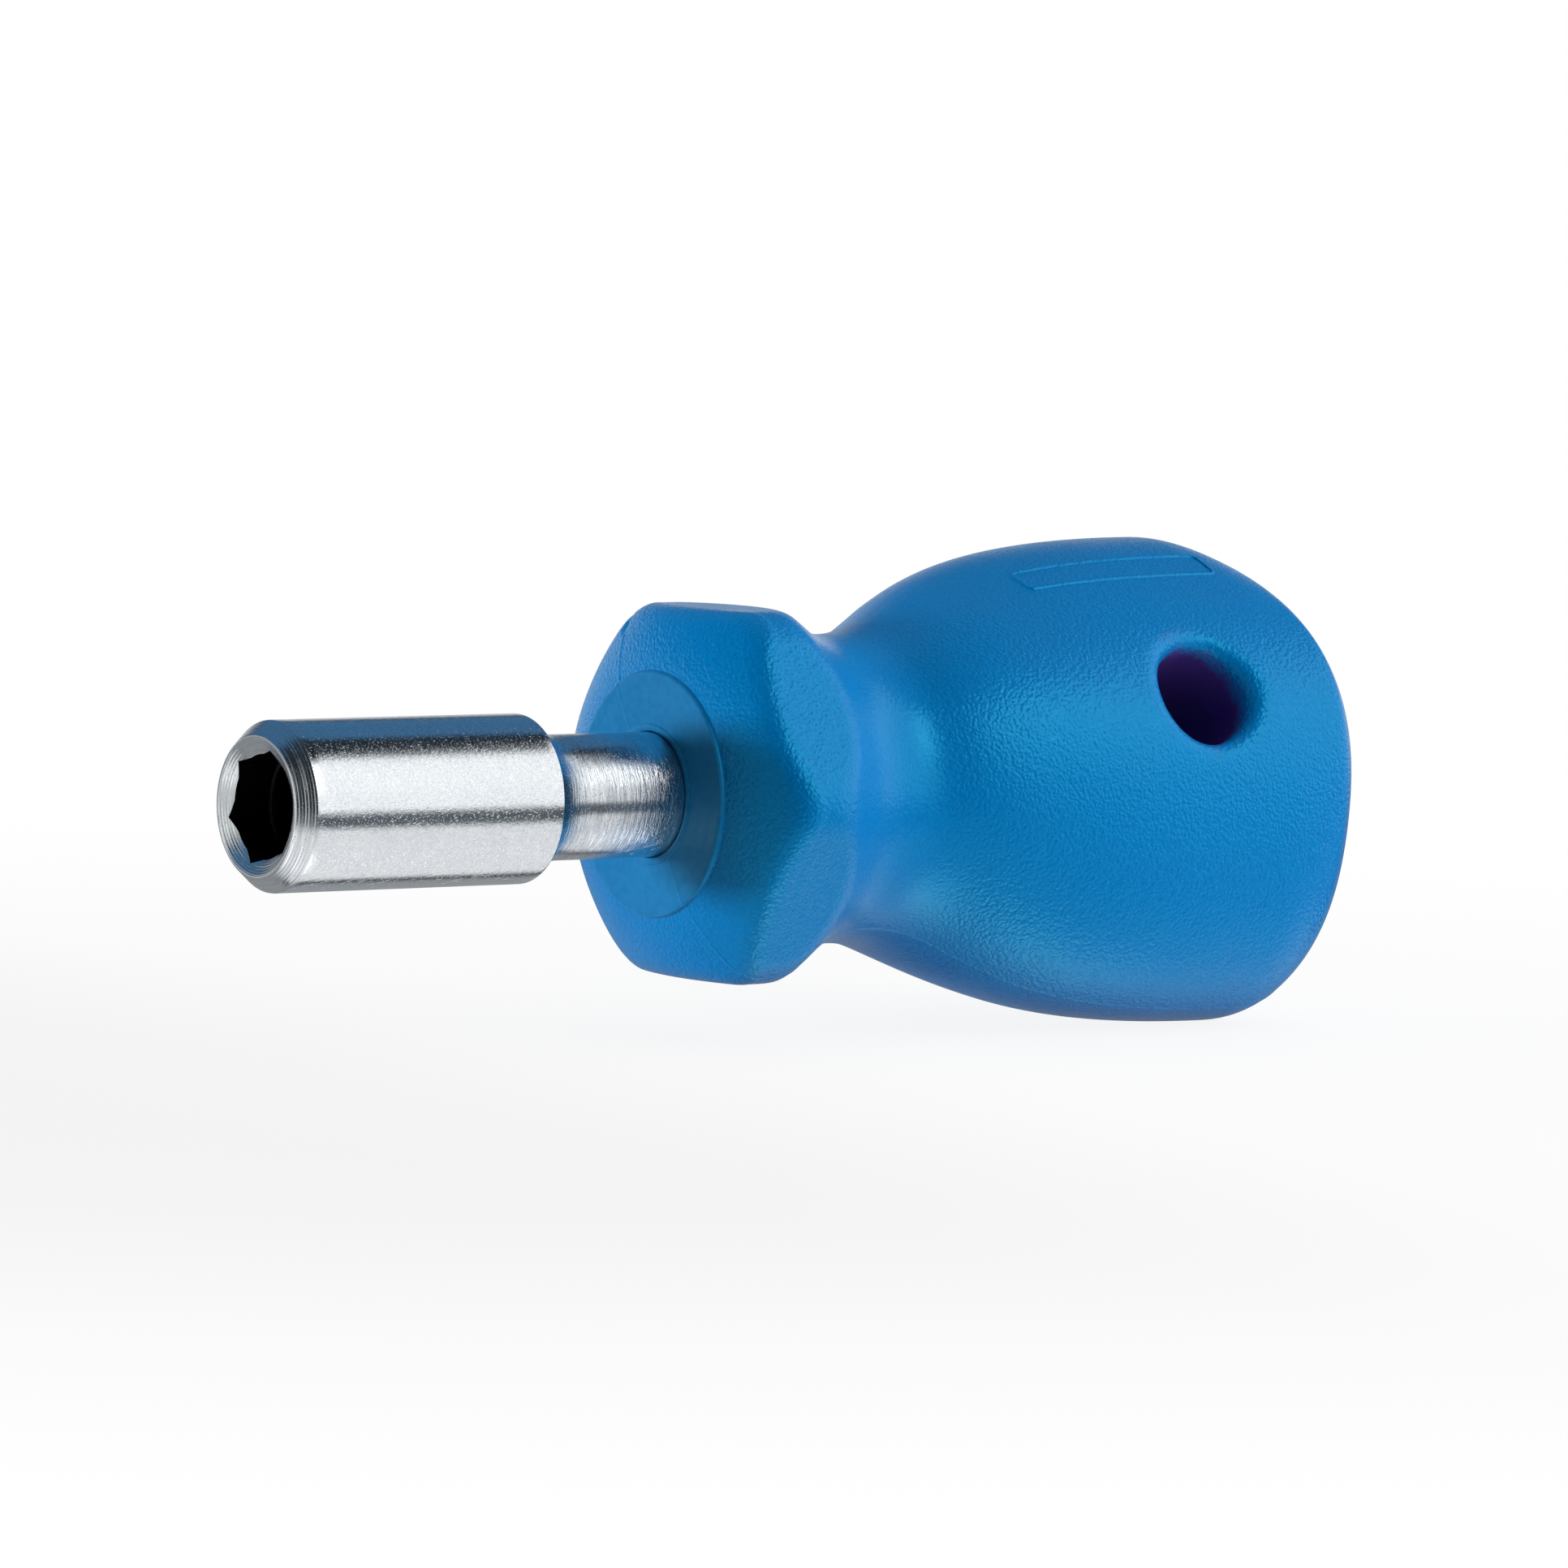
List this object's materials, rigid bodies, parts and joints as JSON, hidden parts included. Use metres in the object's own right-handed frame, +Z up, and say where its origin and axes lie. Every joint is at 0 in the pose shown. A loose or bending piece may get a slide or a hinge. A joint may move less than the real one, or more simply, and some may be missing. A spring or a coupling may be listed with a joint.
{
  "type": "bit holder screwdriver",
  "caption": "Stubby hand screwdriver: blue moulded oval grip with a hexagon collar and slanted hang hole, on a steel holder whose magnetic socket takes quarter-inch hexagon bits.",
  "frame": {"origin": "middle of the magnet's face on the socket's floor, where the end of a bit seats", "axes": "+X along the tool's axis from the bit seat to the butt of the handle, so the socket opens towards -X; +Z up, square to one flat of the collar; -Y is the side that the picture shows"},
  "size_m": [0.0832, 0.0278, 0.0316],
  "materials": {
    "handle_plastic": "fine moulded grain, half matt",
    "holder_steel": "bright plated over turned steel",
    "magnet": "nickel plated",
    "spring_steel": "drawn wire"
  },
  "bodies": {
    "root": {"handle": "handle_plastic", "bit_holder": "holder_steel", "socket_magnet": "magnet", "retaining_ring": "spring_steel"}
  },
  "joints": []
}
